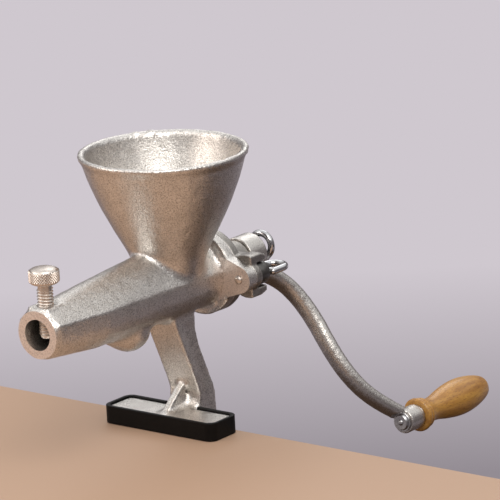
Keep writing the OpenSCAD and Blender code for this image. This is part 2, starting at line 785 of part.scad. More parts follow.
module nozzle_screw() {
    chamfer = 1.2;
    relief_r = screw_r - 0.7;
    top = head_h0 + head_h;
    color("lightgray") at_axis() translate([screw_x, 0, 0]) rotate_extrude()
        polygon([[0, -tip_drop], [screw_r - 1.5, -tip_drop], [screw_r, -tip_drop + 1.5],
            [screw_r, head_h0 - 3], [relief_r, head_h0 - 2.4], [relief_r, head_h0],
            [head_r - 2 * chamfer, head_h0], [head_r, head_h0 + chamfer * 1.6],
            [head_r, top - chamfer], [head_r - chamfer, top], [head_r - 3, top + 0.6],
            [0, top + 1]]);
}

/* ---- Clamp ---- */

module swivel_pad() {
    cup_r = ball_r + run_gap;
    color("silver") difference() {
        translate([0, 0, pad_top_z - pad_t]) rotate_extrude()
            polygon([[0, 0], [cup_r + 3, 0], [cup_r + 3.4, 1], [pad_r, pad_t - 2.5],
                [pad_r, pad_t - 0.6], [pad_r - 0.6, pad_t], [0, pad_t]]);
        translate([0, 0, pad_top_z - pad_t - through]) cylinder(r = cup_r, h = pad_t);
    }
}

module clamp_screw() {
    bottom = jaw_bottom - screw_below;
    nose = pad_top_z - 1 - run_gap;
    eye_r = clamp_r + 2.6;
    color("gainsboro") difference() {
        rotate_extrude() polygon([[0, bottom], [eye_r - 1, bottom], [eye_r, bottom + 1],
            [eye_r, bar_z + 6], [clamp_r, bar_z + 8], [clamp_r, nose - pad_t + 1],
            [clamp_r - 1.4, nose - pad_t + 2], [clamp_r - 1.4, nose - 4],
            [ball_r - 0.8, nose - 3.2], [ball_r - 0.8, nose - 1], [ball_r - 1.8, nose],
            [0, nose]]);
        translate([0, -eye_r - through, bar_z]) rotate([-90, 0, 0])
            cylinder(r = bar_r + fit_gap, h = 2 * (eye_r + through));
    }
}

module tommy_bar() {
    color("gainsboro") translate([0, -bar_l / 2, bar_z]) rotate([-90, 0, 0])
        cylinder(r = bar_r, h = bar_l);
}

module tommy_bar_knobs() {
    knob_l = 6;
    color("gray") for (s = [-1, 1]) translate([0, s * (bar_l / 2 - knob_l / 2), bar_z])
        rotate([90, 0, 0]) difference() {
            translate([0, 0, -knob_l / 2]) rotate_extrude() polygon([[0, 0], [knob_r - 1, 0],
                [knob_r, 1], [knob_r, knob_l - 1], [knob_r - 1, knob_l], [0, knob_l]]);
            translate([0, 0, -knob_l / 2 - through])
                cylinder(r = bar_r, h = knob_l + 2 * through);
        }
}

body_casting();
foot_boot();
rear_cover();
shaft_bush();
thrust_washer();
worm();
crank_arm();
hub_washer();
hub_screw();
hub_screw_loop();
handle_pin();
boss_washer();
grip_washer();
wooden_grip();
near_cover_screw();
far_cover_screw();
near_screw_loop();
far_screw_loop();
nozzle_screw();
swivel_pad();
clamp_screw();
tommy_bar();
tommy_bar_knobs();
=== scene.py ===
# %% [markdown]
# # A clamp-on hand crank grinder
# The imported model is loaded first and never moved. Every piece that is made here lies where its
# solid lies, in metres, and rides on that solid's body. Places and lengths come from the frame
# where they can: from the joints' positions and from the boxes of the solids.

# %% Load the frame
import json
import math

import bmesh
import bpy
import numpy as np
from mathutils import Matrix, Vector


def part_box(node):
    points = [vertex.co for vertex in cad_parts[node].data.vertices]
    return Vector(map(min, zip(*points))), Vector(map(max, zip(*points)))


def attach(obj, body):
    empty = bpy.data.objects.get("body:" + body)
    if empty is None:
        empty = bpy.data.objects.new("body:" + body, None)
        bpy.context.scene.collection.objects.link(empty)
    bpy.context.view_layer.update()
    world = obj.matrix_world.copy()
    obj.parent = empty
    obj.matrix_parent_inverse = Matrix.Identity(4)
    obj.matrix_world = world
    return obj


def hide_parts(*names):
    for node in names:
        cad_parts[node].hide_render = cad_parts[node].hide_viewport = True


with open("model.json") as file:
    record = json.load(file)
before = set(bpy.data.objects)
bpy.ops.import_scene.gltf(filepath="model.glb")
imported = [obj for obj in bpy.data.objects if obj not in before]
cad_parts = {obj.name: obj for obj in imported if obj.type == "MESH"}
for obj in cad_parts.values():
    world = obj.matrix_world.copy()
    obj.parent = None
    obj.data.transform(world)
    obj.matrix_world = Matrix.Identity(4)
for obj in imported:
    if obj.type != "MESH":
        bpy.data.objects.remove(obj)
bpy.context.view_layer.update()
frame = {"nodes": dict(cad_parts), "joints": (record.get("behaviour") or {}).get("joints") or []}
MM = 0.001
PIVOTS = {joint["name"]: Vector(joint["pos_m"]) for joint in frame["joints"]
          if "pos_m" in joint}
AXIS = PIVOTS["crank_turn"]
SCENE = bpy.context.scene

# %% [markdown]
# ## Nodes
# A material or a Geometry Nodes tree is a graph of small steps. One function adds a step: it
# sets the node up, links or sets its inputs, and gives back an output for the next step. So each
# tree reads from top to bottom. Colours are written as sRGB hex values, and one function turns
# them into linear light.

# %% Colour and node helpers
def linear(hex_colour):
    """sRGB hex to linear RGBA."""
    parts = [int(hex_colour[i : i + 2], 16) / 255 for i in (1, 3, 5)]
    return [*[c / 12.92 if c < 0.04045 else ((c + 0.055) / 1.055) ** 2.4 for c in parts], 1.0]


def feed(node, inputs):
    """Links or sets inputs, by name or in the node's own order. A hex string is a colour."""
    pairs = inputs.items() if isinstance(inputs, dict) else enumerate(inputs)
    for key, value in pairs:
        if isinstance(value, bpy.types.NodeSocket):
            node.id_data.links.new(value, node.inputs[key])
        else:
            node.inputs[key].default_value = linear(value) if isinstance(value, str) else value


def add(tree, kind, inputs=(), give=None, stops=(), **settings):
    """Adds a node. Gives the output that is named, or else the first one that is in use."""
    node = tree.nodes.new(kind)
    for name, value in settings.items():
        setattr(node, name, value)
    for i, (at, colour) in enumerate(stops):
        stop = node.color_ramp.elements[i] if i < 2 else node.color_ramp.elements.new(at)
        stop.position = at
        stop.color = linear(colour)
    feed(node, inputs)
    return node.outputs[give] if give else next(out for out in node.outputs if out.enabled)


def new_material(name):
    """An empty material: its tree, its Principled shader and the Object coordinates."""
    material = bpy.data.materials.new(name)
    material.use_nodes = True
    tree = material.node_tree
    place = add(tree, "ShaderNodeTexCoord", give="Object")
    return material, tree, tree.nodes["Principled BSDF"], place


print("mid grey in linear light", round(linear("#808080")[0], 3))

# %% [markdown]
# ## Cast and tumbled aluminium
# The body is a sand casting that was tumbled: a grey metal with a grain of about a millimetre,
# dark specks in the grain, small pits, and edges that the tumbling has brightened. Real sand
# grain is finer, but would not show at the camera's distance. Metal keeps the default IOR.
#
# The faces that seal or seat were machined afterwards, and are flatter, paler and more matt. Each
# is a plane across the barrel, so the shader finds them from the position and the normal, and no
# mask has to be painted.

# %% Cast aluminium
NOZZLE_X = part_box("body_casting")[0].x
FLANGE_FRONT = AXIS.x + 30.5 * MM
FLANGE_BACK = FLANGE_FRONT + 9 * MM


def cast_aluminium(name, tones, machined_planes=(), grainy=0.85):
    """tones: low skin, high skin, worn edge. machined_planes: x in metres and reach in mm."""
    material, tree, shader, place = new_material(name)
    grain, speckle, lumps, waves = [add(tree, "ShaderNodeTexNoise", {
        "Vector": place, "Scale": 1 / (size_mm * MM), "Detail": detail, "Roughness": rough})
        for size_mm, detail, rough in ((1.1, 2.0, 0.6), (0.8, 1.0, 0.5), (9.0, 3.0, 0.55),
                                       (6.0, 2.0, 0.5))]
    spots = add(tree, "ShaderNodeTexVoronoi", {"Vector": place, "Scale": 1 / (2.4 * MM)})
    pit = add(tree, "ShaderNodeMapRange", {"Value": spots, "From Min": 0.02, "From Max": 0.16})
    edge = add(tree, "ShaderNodeNewGeometry", give="Pointiness")
    wear = add(tree, "ShaderNodeMapRange", {"Value": edge, "From Min": 0.50, "From Max": 0.56})

    x = add(tree, "ShaderNodeSeparateXYZ", {"Vector": place}, give="X")
    normal = add(tree, "ShaderNodeNewGeometry", give="Normal")
    lengthways = add(tree, "ShaderNodeSeparateXYZ", {"Vector": normal}, give="X")
    square = add(tree, "ShaderNodeMath", [lengthways], operation="ABSOLUTE")
    flat = add(tree, "ShaderNodeMath", [square, 0.94], operation="GREATER_THAN")
    machined = 0.0
    for plane_x, reach_mm in machined_planes:
        near = add(tree, "ShaderNodeMath", [x, plane_x, reach_mm * MM], operation="COMPARE")
        both = add(tree, "ShaderNodeMath", [near, flat], operation="MULTIPLY")
        machined = add(tree, "ShaderNodeMath", [machined, both], operation="MAXIMUM")

    cast = add(tree, "ShaderNodeValToRGB", {"Fac": lumps},
               stops=[(0.25, tones[0]), (0.75, tones[1])])
    worn = add(tree, "ShaderNodeMix", {"Factor": wear, "A": cast, "B": tones[2]},
               data_type="RGBA")
    share = add(tree, "ShaderNodeMath", [machined, 0.8], operation="MULTIPLY")
    pale = add(tree, "ShaderNodeMix", {"Factor": share, "A": worn, "B": "#efe4dd"},
               data_type="RGBA")
    specks = add(tree, "ShaderNodeMapRange", {"Value": speckle, "From Min": 0.46,
                 "From Max": 0.66, "To Max": grainy * 0.75})
    left = add(tree, "ShaderNodeMapRange", {"Value": machined, "To Min": 1.0, "To Max": 0.5})
    dark = add(tree, "ShaderNodeMath", [specks, left], operation="MULTIPLY")
    colour = add(tree, "ShaderNodeMix", {"Factor": dark, "A": pale, "B": "#7d7772"},
                 data_type="RGBA")

    gloss = add(tree, "ShaderNodeMapRange", {"Value": grain, "From Min": 0.3, "From Max": 0.7,
                "To Min": 0.26, "To Max": 0.40})
    rough = add(tree, "ShaderNodeMix", {"Factor": machined, "A": gloss, "B": 0.5})
    pitted = add(tree, "ShaderNodeMath", [pit, 0.3, grain], operation="MULTIPLY_ADD")
    height = add(tree, "ShaderNodeMath", [waves, 0.6, pitted], operation="MULTIPLY_ADD")
    strength = add(tree, "ShaderNodeMapRange", {"Value": machined, "To Min": grainy,
                   "To Max": 0.45})
    bump = add(tree, "ShaderNodeBump", {"Height": height, "Strength": strength,
               "Distance": 0.4 * MM})
    feed(shader, {"Base Color": colour, "Roughness": rough, "Normal": bump, "Metallic": 1.0})
    return material


ALUMINIUM = cast_aluminium("tumbled_cast_aluminium", ("#d6d2cd", "#e8e4df", "#e4e0db"),
                           [(NOZZLE_X, 0.4), (FLANGE_FRONT, 0.6), (FLANGE_BACK, 0.6)])
print("machined planes at", [round(x / MM, 1) for x in (NOZZLE_X, FLANGE_FRONT, FLANGE_BACK)])
print("material", ALUMINIUM.name, "nodes", len(ALUMINIUM.node_tree.nodes))

# %% [markdown]
# ## Meshes
# A mesh that is made or changed here is finished in one way: its seams are merged, its faces
# point outwards, and it is shaded smooth up to an angle, beyond which an edge stays sharp. Then
# the finished piece says which solid it stands for and which body it rides on.

# %% Mesh helpers
def finish_mesh(name, mesh, material, sharp_deg):
    """Closes seams, points the faces outwards, shades the mesh and makes its object."""
    shape = bmesh.new()
    shape.from_mesh(mesh)
    bmesh.ops.remove_doubles(shape, verts=shape.verts, dist=1e-6)
    bmesh.ops.recalc_face_normals(shape, faces=shape.faces)
    shape.to_mesh(mesh)
    shape.free()
    mesh.materials.clear()
    mesh.materials.append(material)
    mesh.shade_smooth()
    mesh.set_sharp_from_angle(angle=math.radians(sharp_deg))
    piece = bpy.data.objects.new(name, mesh)
    SCENE.collection.objects.link(piece)
    return piece


def plain_mesh(source, name):
    """The evaluated mesh of an object, as a mesh of its own."""
    graph = bpy.context.evaluated_depsgraph_get()
    mesh = bpy.data.meshes.new_from_object(source.evaluated_get(graph))
    mesh.name = name
    return mesh


def rows(mesh, what):
    """The places ("co") or normals of a mesh's vertices, a row for each."""
    values = np.empty(len(mesh.vertices) * 3)
    mesh.vertices.foreach_get(what, values)
    return values.reshape(-1, 3)


def stands_for(piece, node, body):
    """Says which solid a piece replaces and which body it rides on."""
    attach(piece, body)
    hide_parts(node)
    print(piece.name, "for", node, "on", body, "faces", len(piece.data.polygons))


# %% [markdown]
# ## Castings with soft corners
# A casting has no sharp inner corner: metal fills each one with a fillet. A bevel could round the
# solid's edges, but fails where many forms meet. So the surface is sampled again as an even grid
# of small faces, and its corners are relaxed.

# %% An even grid over a solid
def regrid(node, name, depth, scale):
    """A closed even mesh of a CAD solid, with its sharp edges kept."""
    copy = frame["nodes"][node].copy()
    copy.data = frame["nodes"][node].data.copy()
    copy.parent = None
    SCENE.collection.objects.link(copy)
    shape = bmesh.new()
    shape.from_mesh(copy.data)
    bmesh.ops.remove_doubles(shape, verts=shape.verts, dist=2e-6)
    shape.to_mesh(copy.data)
    shape.free()
    grid = copy.modifiers.new("grid", "REMESH")
    grid.mode = "SHARP"
    grid.octree_depth = depth
    grid.scale = scale
    grid.sharpness = 1.0
    grid.use_remove_disconnected = False
    mesh = plain_mesh(copy, name)
    bpy.data.objects.remove(copy)
    print(name, "grid of", len(mesh.polygons), "faces")
    return mesh


# %% [markdown]
# Relaxing moves a vertex towards the mean of its neighbours. A vertex lies in a hollow if that
# mean lies outside its tangent plane, and on an outer edge if it lies inside. All but the outer
# edges is evened out first. Then the hollows, with a band around them, get many rounds, which
# gives the fillet, and the outer edges a few, as from tumbling. The boot, which is moulded with
# round edges, gets more rounds outside than inside.

# %% Relax the corners
BEND = 0.12  # a corner's mean lies further off the tangent plane than this share of an edge
SPREAD = 1.15  # how strongly a hollow's band grows in a round
STEP = 0.6  # how far a vertex goes towards the mean in a round


def relax(mesh, hollow_rounds, edge_rounds, flat_rounds, band, keep=None):
    """Smooths flats, hollow corners and outer edges, each for its own number of rounds, but not
    what keep marks."""
    count = len(mesh.vertices)
    place, normal = rows(mesh, "co"), rows(mesh, "normal")
    pairs = np.empty(len(mesh.edges) * 2, np.int64)
    mesh.edges.foreach_get("vertices", pairs)
    a, b = pairs.reshape(-1, 2).T
    degree = np.maximum(np.bincount(a, minlength=count) + np.bincount(b, minlength=count), 1)

    def mean(values):
        if values.ndim == 1:
            total = (np.bincount(a, values[b], minlength=count)
                     + np.bincount(b, values[a], minlength=count))
            return total / degree
        return np.stack([mean(values[:, i]) for i in range(values.shape[1])], axis=1)

    edge_l = np.linalg.norm(place[a] - place[b], axis=1).mean()
    bend = ((mean(place) - place) * normal).sum(axis=1) / edge_l
    hollow = (bend > BEND).astype(float)
    outer = (bend < -BEND).astype(float)
    for _ in range(band):
        hollow = np.maximum(hollow, mean(hollow) * SPREAD).clip(0, 1)
    free = np.ones(count) if keep is None else 1 - keep(place)
    for rounds, weight in ((flat_rounds, 1 - outer), (hollow_rounds, hollow),
                           (edge_rounds, outer)):
        share = (weight * free * STEP)[:, None]
        for _ in range(rounds):
            place = place + (mean(place) - place) * share
    mesh.vertices.foreach_set("co", place.ravel())
    mesh.update()
    print(mesh.name, "vertices", count, "hollow", int(hollow.sum()), "outer", int(outer.sum()))


# %% [markdown]
# ## Geometry Nodes
# What follows a rule is made by a node tree with its sizes as named inputs, in metres: a skin of
# noise, a thread, a knurl, a bent wire. Change an input and the part follows. Every tree ends by
# making its instances real and setting the material, and its result becomes a plain mesh.

# %% Start, end and run a tree
def new_tree(name, *inputs):
    """A tree with the inputs that are named, and a Material. All but Geometry are numbers."""
    tree = bpy.data.node_groups.new(name, "GeometryNodeTree")
    tree.interface.new_socket("Geometry", in_out="OUTPUT", socket_type="NodeSocketGeometry")
    for each in (*inputs, "Material"):
        kind = each if each in ("Geometry", "Material") else "Float"
        tree.interface.new_socket(each, in_out="INPUT", socket_type="NodeSocket" + kind)
    return tree, tree.nodes.new("NodeGroupInput").outputs


def close_tree(tree, given, geometry):
    """Ends a tree: instances made real, then the material."""
    real = add(tree, "GeometryNodeRealizeInstances", {"Geometry": geometry})
    painted = add(tree, "GeometryNodeSetMaterial", {"Geometry": real,
                  "Material": given["Material"]})
    feed(tree.nodes.new("NodeGroupOutput"), {"Geometry": painted})
    print("tree", tree.name, "nodes", len(tree.nodes))
    return tree


def run_tree(tree, name, material, mesh=None, **sizes):
    """Runs a tree, on a mesh if it takes one, and gives a plain mesh with one material."""
    holder = bpy.data.objects.new(name, mesh or bpy.data.meshes.new(name))
    SCENE.collection.objects.link(holder)
    growth = holder.modifiers.new("growth", "NODES")
    growth.node_group = tree
    values = {"Material": material, **sizes}
    for item in tree.interface.items_tree:
        if item.name in values:
            growth[item.identifier] = values[item.name]
    result = plain_mesh(holder, name)
    bpy.data.objects.remove(holder)
    result.materials.clear()
    result.materials.append(material)
    return result


# %% [markdown]
# ### A tumbled skin
# Sand and tumbling leave no surface quite flat. This tree moves each vertex along its normal by
# soft noise: swells a centimetre across, and dents a few millimetres across, both well under a
# millimetre high. One tree serves the body, the cover and the crank, with other amounts.

# %% Skin tree
SWELL_SIZE, DENT_SIZE = 11.0 * MM, 3.5 * MM


def skin_tree():
    """Moves a mesh's vertices along their normals by two sizes of noise."""
    tree, given = new_tree("tumbled skin", "Geometry", "Swell", "Dent")
    waves = []
    for size, amount in ((SWELL_SIZE, given["Swell"]), (DENT_SIZE, given["Dent"])):
        lumps = add(tree, "ShaderNodeTexNoise", {"Scale": 1 / size, "Detail": 1.0})
        centred = add(tree, "ShaderNodeMath", [lumps, 0.5], operation="SUBTRACT")
        waves.append(add(tree, "ShaderNodeMath", [centred, amount], operation="MULTIPLY"))
    rise = add(tree, "ShaderNodeMath", waves, operation="ADD")
    normal = add(tree, "GeometryNodeInputNormal")
    shift = add(tree, "ShaderNodeVectorMath", {0: normal, "Scale": rise}, operation="SCALE")
    moved = add(tree, "GeometryNodeSetPosition", {"Geometry": given["Geometry"],
                "Offset": shift})
    return close_tree(tree, given, moved)


SKIN = skin_tree()


def soften(node, name, body, material, grid, rounds, skin=(), change=None, keep=None,
           sharp_deg=40):
    """Makes the piece for a solid: grid, rounds and skin (in mm) are for the steps above."""
    mesh = regrid(node, name, *grid)
    if change:
        change(mesh)
    relax(mesh, *rounds, keep)
    if skin:
        swell, dent = skin
        mesh = run_tree(SKIN, name, material, mesh, Swell=swell * MM, Dent=dent * MM)
    stands_for(finish_mesh(name, mesh, material, sharp_deg), node, body)


# %% [markdown]
# ### The body
# Hopper, barrel, nozzle, flange, leg, foot plate and clamp frame are one casting. The nozzle's
# face and the flange's faces were machined after casting, so they keep their crisp edges: the
# relaxing leaves a thin layer at each of those planes alone.

# %% What was machined
BARREL_R = 24 * MM
LAYER, NOSE_L = 0.9 * MM, 2 * MM


def machined_layer(place):
    """1 at the planes that were machined, 0 elsewhere."""
    layer = np.zeros(len(place))
    for plane in (NOZZLE_X, FLANGE_FRONT, FLANGE_BACK):
        layer = np.maximum(layer, np.abs(place[:, 0] - plane) < LAYER)
    beyond = np.hypot(place[:, 1], place[:, 2] - AXIS.z) > BARREL_R
    return layer * (beyond | (place[:, 0] < NOZZLE_X + NOSE_L))


# %% [markdown]
# The leg is a T in section: a wide wall in front and a narrower web behind it. The solid's leg is
# plain, so the vertices of its sides sink towards the middle behind the wall. The wall's front is
# found level by level, because the leg curves, and the recess fades out at both ends.

# %% The leg's sides
LEG_X, LEG_REACH = 20 * MM, 32 * MM  # the leg lies within its reach of this x
LEG_LOW, LEG_HIGH = 20 * MM, 80 * MM
SIDE_LOW, SIDE_CORNER, SIDE_HIGH = 11 * MM, 12.5 * MM, 14.5 * MM  # out from the middle
LEVEL = 2 * MM
WALL_MM, SLOPE_MM, SINK_MM = 4.0, 1.5, 1.6  # the wall, the slope behind it, and its depth
FOOT_FADE, TOP_FADE, SIDE_FADE = (24, 8), (-79, 6), (10, 4)  # start and length, in mm


def fade(values_mm, start, length):
    """0 up to start, and 1 from a length beyond it."""
    return ((values_mm - start) / length).clip(0, 1)


def sink_leg_sides(mesh):
    """Makes the web behind the leg's front wall narrower."""
    place = rows(mesh, "co")
    x, z = place[:, 0], place[:, 2]
    half = np.abs(place[:, 1])
    leg = ((half > SIDE_LOW) & (half < SIDE_HIGH) & (z > LEG_LOW) & (z < LEG_HIGH)
           & (np.abs(x - LEG_X) < LEG_REACH))
    levels = (z / LEVEL).astype(int)
    fronts = {}
    for level in range(round(LEG_LOW / LEVEL), round(LEG_HIGH / LEVEL)):
        here = x[leg & (levels == level) & (half > SIDE_CORNER)]
        if len(here):
            fronts[level] = here.min()
    front = np.array([fronts.get(level, 1.0) for level in levels])
    share = fade((x - front) / MM, WALL_MM, SLOPE_MM) * leg
    share *= fade(z / MM, *FOOT_FADE) * fade(-z / MM, *TOP_FADE)
    place[:, 1] -= np.sign(place[:, 1]) * share * SINK_MM * MM * fade(half / MM, *SIDE_FADE)
    mesh.vertices.foreach_set("co", place.ravel())
    print("leg vertices sunk", int((share > 0.5).sum()))


# %% Body casting
soften("body_casting", "cast_body", "frame", ALUMINIUM, grid=(8, 0.82),
       rounds=(40, 3, 8, 4), skin=(0.5, 0.25), change=sink_leg_sides, keep=machined_layer)

# %% [markdown]
# ### Cover, crank and worm
# These are castings too, made in the same way. The cover's tones are darker than the body's:
# painted shade, for the hopper's shadow over the cover. The crank is smoother than both, with
# less grain and no dents. The worm isn't tumbled, and its thread keeps a crisper crest.

# %% Cover, crank and worm
# The cover's three tones are darker than the body's: painted shade, where the hopper shadows the
# cover.
SHADED_COVER_ALUMINIUM = cast_aluminium("cover_aluminium_painted_shade", ("#94908b", "#a8a49f", "#c3bfba"))
CRANK_ALUMINIUM = cast_aluminium("tumbled_crank_aluminium", ("#cac6c1", "#dcd8d3", "#e0dcd7"),
                                 grainy=0.5)
WORM_ALUMINIUM = cast_aluminium("rough_cast_aluminium", ("#8e8c89", "#a5a3a0", "#c2c0bc"))
soften("rear_cover", "cast_cover", "frame", SHADED_COVER_ALUMINIUM, grid=(7, 0.9),
       rounds=(25, 3, 4, 3), skin=(0.3, 0.2))
soften("crank_arm", "cast_crank", "crank", CRANK_ALUMINIUM, grid=(8, 0.9),
       rounds=(60, 6, 16, 6), skin=(0.2, 0.0))
soften("worm", "cast_worm", "crank", WORM_ALUMINIUM, grid=(8, 0.9),
       rounds=(12, 2, 6, 3))

# %% [markdown]
# ### The boot
# The foot plate stands in a boot of moulded black rubber: matt, with a faint bloom. Its lip is
# thicker at the top and laps over the edge of the plate, and its edges are round. The solid's lip
# is straight, so its inner walls are moved over the plate before the corners are relaxed.

# %% Boot
LIP_OUT, LIP_DEEP, LIP_FADE = 0.9 * MM, 1.5 * MM, 0.5 * MM


def rubber(name):
    material, tree, shader, place = new_material(name)
    bloom, skin = [add(tree, "ShaderNodeTexNoise", {
        "Vector": place, "Scale": 1 / (size_mm * MM), "Detail": detail, "Roughness": rough})
        for size_mm, detail, rough in ((14.0, 4.0, 0.6), (0.8, 2.0, 0.5))]
    colour = add(tree, "ShaderNodeValToRGB", {"Fac": bloom},
                 stops=[(0.3, "#040303"), (0.75, "#080606")])
    rough = add(tree, "ShaderNodeMapRange", {"Value": skin, "From Min": 0.3, "From Max": 0.7,
                "To Min": 0.42, "To Max": 0.6})
    bump = add(tree, "ShaderNodeBump", {"Height": skin, "Strength": 0.2, "Distance": 0.1 * MM})
    feed(shader, {"Base Color": colour, "Roughness": rough, "Normal": bump, "IOR": 1.45,
                  "Specular IOR Level": 0.2})
    return material


def swell_lip(mesh):
    """Thickens the lip inwards, over the plate. Its inner walls face the boot's middle."""
    place, normal = rows(mesh, "co"), rows(mesh, "normal")
    top = place[:, 2].max()
    inner = (place[:, :2] * normal[:, :2]).sum(axis=1) < 0
    share = ((place[:, 2] - top + LIP_DEEP) / LIP_FADE).clip(0, 1) * inner
    place[:, :2] += normal[:, :2] * (share * LIP_OUT)[:, None]
    mesh.vertices.foreach_set("co", place.ravel())


RUBBER = rubber("moulded_black_rubber")
soften("foot_boot", "moulded_boot", "frame", RUBBER, grid=(8, 0.9),
       rounds=(6, 24, 4, 3), change=swell_lip, sharp_deg=50)

# %% [markdown]
# ## Steel parts
# Small steel parts differ in finish: bright nickel on the knurled screw, polished chrome on the
# wire loops, dark oiled steel on the collars, and plain zinc plate on pins, washers and the
# clamp. Only colour, roughness and fine scratches differ, so one function makes them all, and
# the sintered bronze of the bush too.

# %% Steel
def steel(name, dark, light, rough, scratch_mm=0.7, bump_strength=0.12):
    material, tree, shader, place = new_material(name)
    cloud, fine = [add(tree, "ShaderNodeTexNoise", {
        "Vector": place, "Scale": 1 / (size_mm * MM), "Detail": detail, "Roughness": roughness})
        for size_mm, detail, roughness in ((5.0, 4.0, 0.6), (scratch_mm, 2.0, 0.5))]
    colour = add(tree, "ShaderNodeValToRGB", {"Fac": cloud}, stops=[(0.3, dark), (0.7, light)])
    gloss = add(tree, "ShaderNodeMapRange", {"Value": fine, "From Min": 0.3, "From Max": 0.7,
                "To Min": rough * 0.8, "To Max": rough * 1.25})
    bump = add(tree, "ShaderNodeBump", {"Height": fine, "Strength": bump_strength,
               "Distance": 0.05 * MM})
    feed(shader, {"Base Color": colour, "Roughness": gloss, "Normal": bump, "Metallic": 1.0})
    return material


NICKEL = steel("nickel_plated_steel", "#cbc1b8", "#e0d7cf", 0.34)
CHROME = steel("polished_chrome_wire", "#bdbdbf", "#d2d2d4", 0.12, 1.0, 0.04)
DARK_STEEL = steel("oiled_dark_steel", "#5b5a58", "#777572", 0.34)
ZINC = steel("zinc_plated_steel", "#a9a9ab", "#c6c6c8", 0.30)
print("materials", len(bpy.data.materials))

# %% [markdown]
# ## Turned parts
# A turned part is half an outline spun about an axis, as a lathe makes it, so one function makes
# them all. An outline is a list of places along the axis and radii there, in mm. It starts and
# ends on the axis, or comes back to its start where the part has a hole. Some pieces are several
# meshes, such as a head and its knurl, and a second function joins those.

# %% Turn and join
def turned(name, outline, centre, axis, material, sides=64, sharp_deg=30):
    """Spins an outline of (along, radius) in mm about an axis through centre."""
    along = Vector(axis).normalized()
    side = along.orthogonal().normalized()
    other = along.cross(side)
    points = []
    for at, radius in outline:
        for i in range(sides):
            angle = 2 * math.pi * i / sides
            out = side * math.cos(angle) + other * math.sin(angle)
            points.append(tuple(centre + (along * at + out * radius) * MM))
    faces = []
    for k in range(len(outline) - 1):
        for i in range(sides):
            j = (i + 1) % sides
            faces.append((k * sides + i, k * sides + j, (k + 1) * sides + j, (k + 1) * sides + i))
    mesh = bpy.data.meshes.new(name)
    mesh.from_pydata(points, [], faces)
    return finish_mesh(name, mesh, material, sharp_deg)


def taken(piece):
    """Takes the mesh of a helper object and removes the object."""
    mesh = piece.data
    bpy.data.objects.remove(piece)
    return mesh


def joined(name, parts, node, body, sharp_deg=35):
    """Joins meshes, each with its place, into one piece that stands for a node."""
    whole = bmesh.new()
    materials = []
    for mesh, place in parts:
        start = len(whole.faces)
        mesh.transform(place)
        if mesh.materials[0] not in materials:
            materials.append(mesh.materials[0])
        whole.from_mesh(mesh)
        whole.faces.ensure_lookup_table()
        for face in whole.faces[start:]:
            face.material_index = materials.index(mesh.materials[0])
    mesh = bpy.data.meshes.new(name)
    whole.to_mesh(mesh)
    whole.free()
    for material in materials:
        mesh.materials.append(material)
    mesh.shade_smooth()
    mesh.set_sharp_from_angle(angle=math.radians(sharp_deg))
    piece = bpy.data.objects.new(name, mesh)
    SCENE.collection.objects.link(piece)
    stands_for(piece, node, body)


# %% [markdown]
# ## Thread and knurl
# A thread is one section swept along a helix. Pitch and length set the number of turns, so a
# longer thread gets more turns and not a steeper one.

# %% Thread tree
def thread_tree():
    """A helical ridge about Z: from the core's radius out to the crest."""
    tree, given = new_tree("helical thread", "Crest", "Depth", "Pitch", "Length")
    turns = add(tree, "ShaderNodeMath", [given["Length"], given["Pitch"]], operation="DIVIDE")
    middle = add(tree, "ShaderNodeMath", [given["Crest"], given["Depth"]], operation="SUBTRACT")
    helix = add(tree, "GeometryNodeCurveSpiral", {"Resolution": 40, "Rotations": turns,
                "Start Radius": middle, "End Radius": middle, "Height": given["Length"]})
    upright = add(tree, "GeometryNodeSetCurveNormal", {"Curve": helix}, mode="Z_UP")
    ridge = add(tree, "GeometryNodeCurvePrimitiveCircle", {"Resolution": 4,
                "Radius": given["Depth"]}, mode="RADIUS")
    swept = add(tree, "GeometryNodeCurveToMesh", {"Curve": upright, "Profile Curve": ridge,
                "Fill Caps": True})
    return close_tree(tree, given, swept)


THREAD = thread_tree()

# %% [markdown]
# A knurl is one small pyramid repeated around a cylinder, and every other row is shifted by half a
# step. Each point's number gives its row and column, those give its height and angle, and a low
# cone with four sides, stretched along the screw, is set on each point. Cutting grooves with
# booleans would be slower and less clean.

# %% Knurl tree
FOOT_SHARE, TIP_SHARE, SPIKE_SHARE = 0.52, 0.12, 0.3  # radii and height, in diamond widths
TALL = 1.35


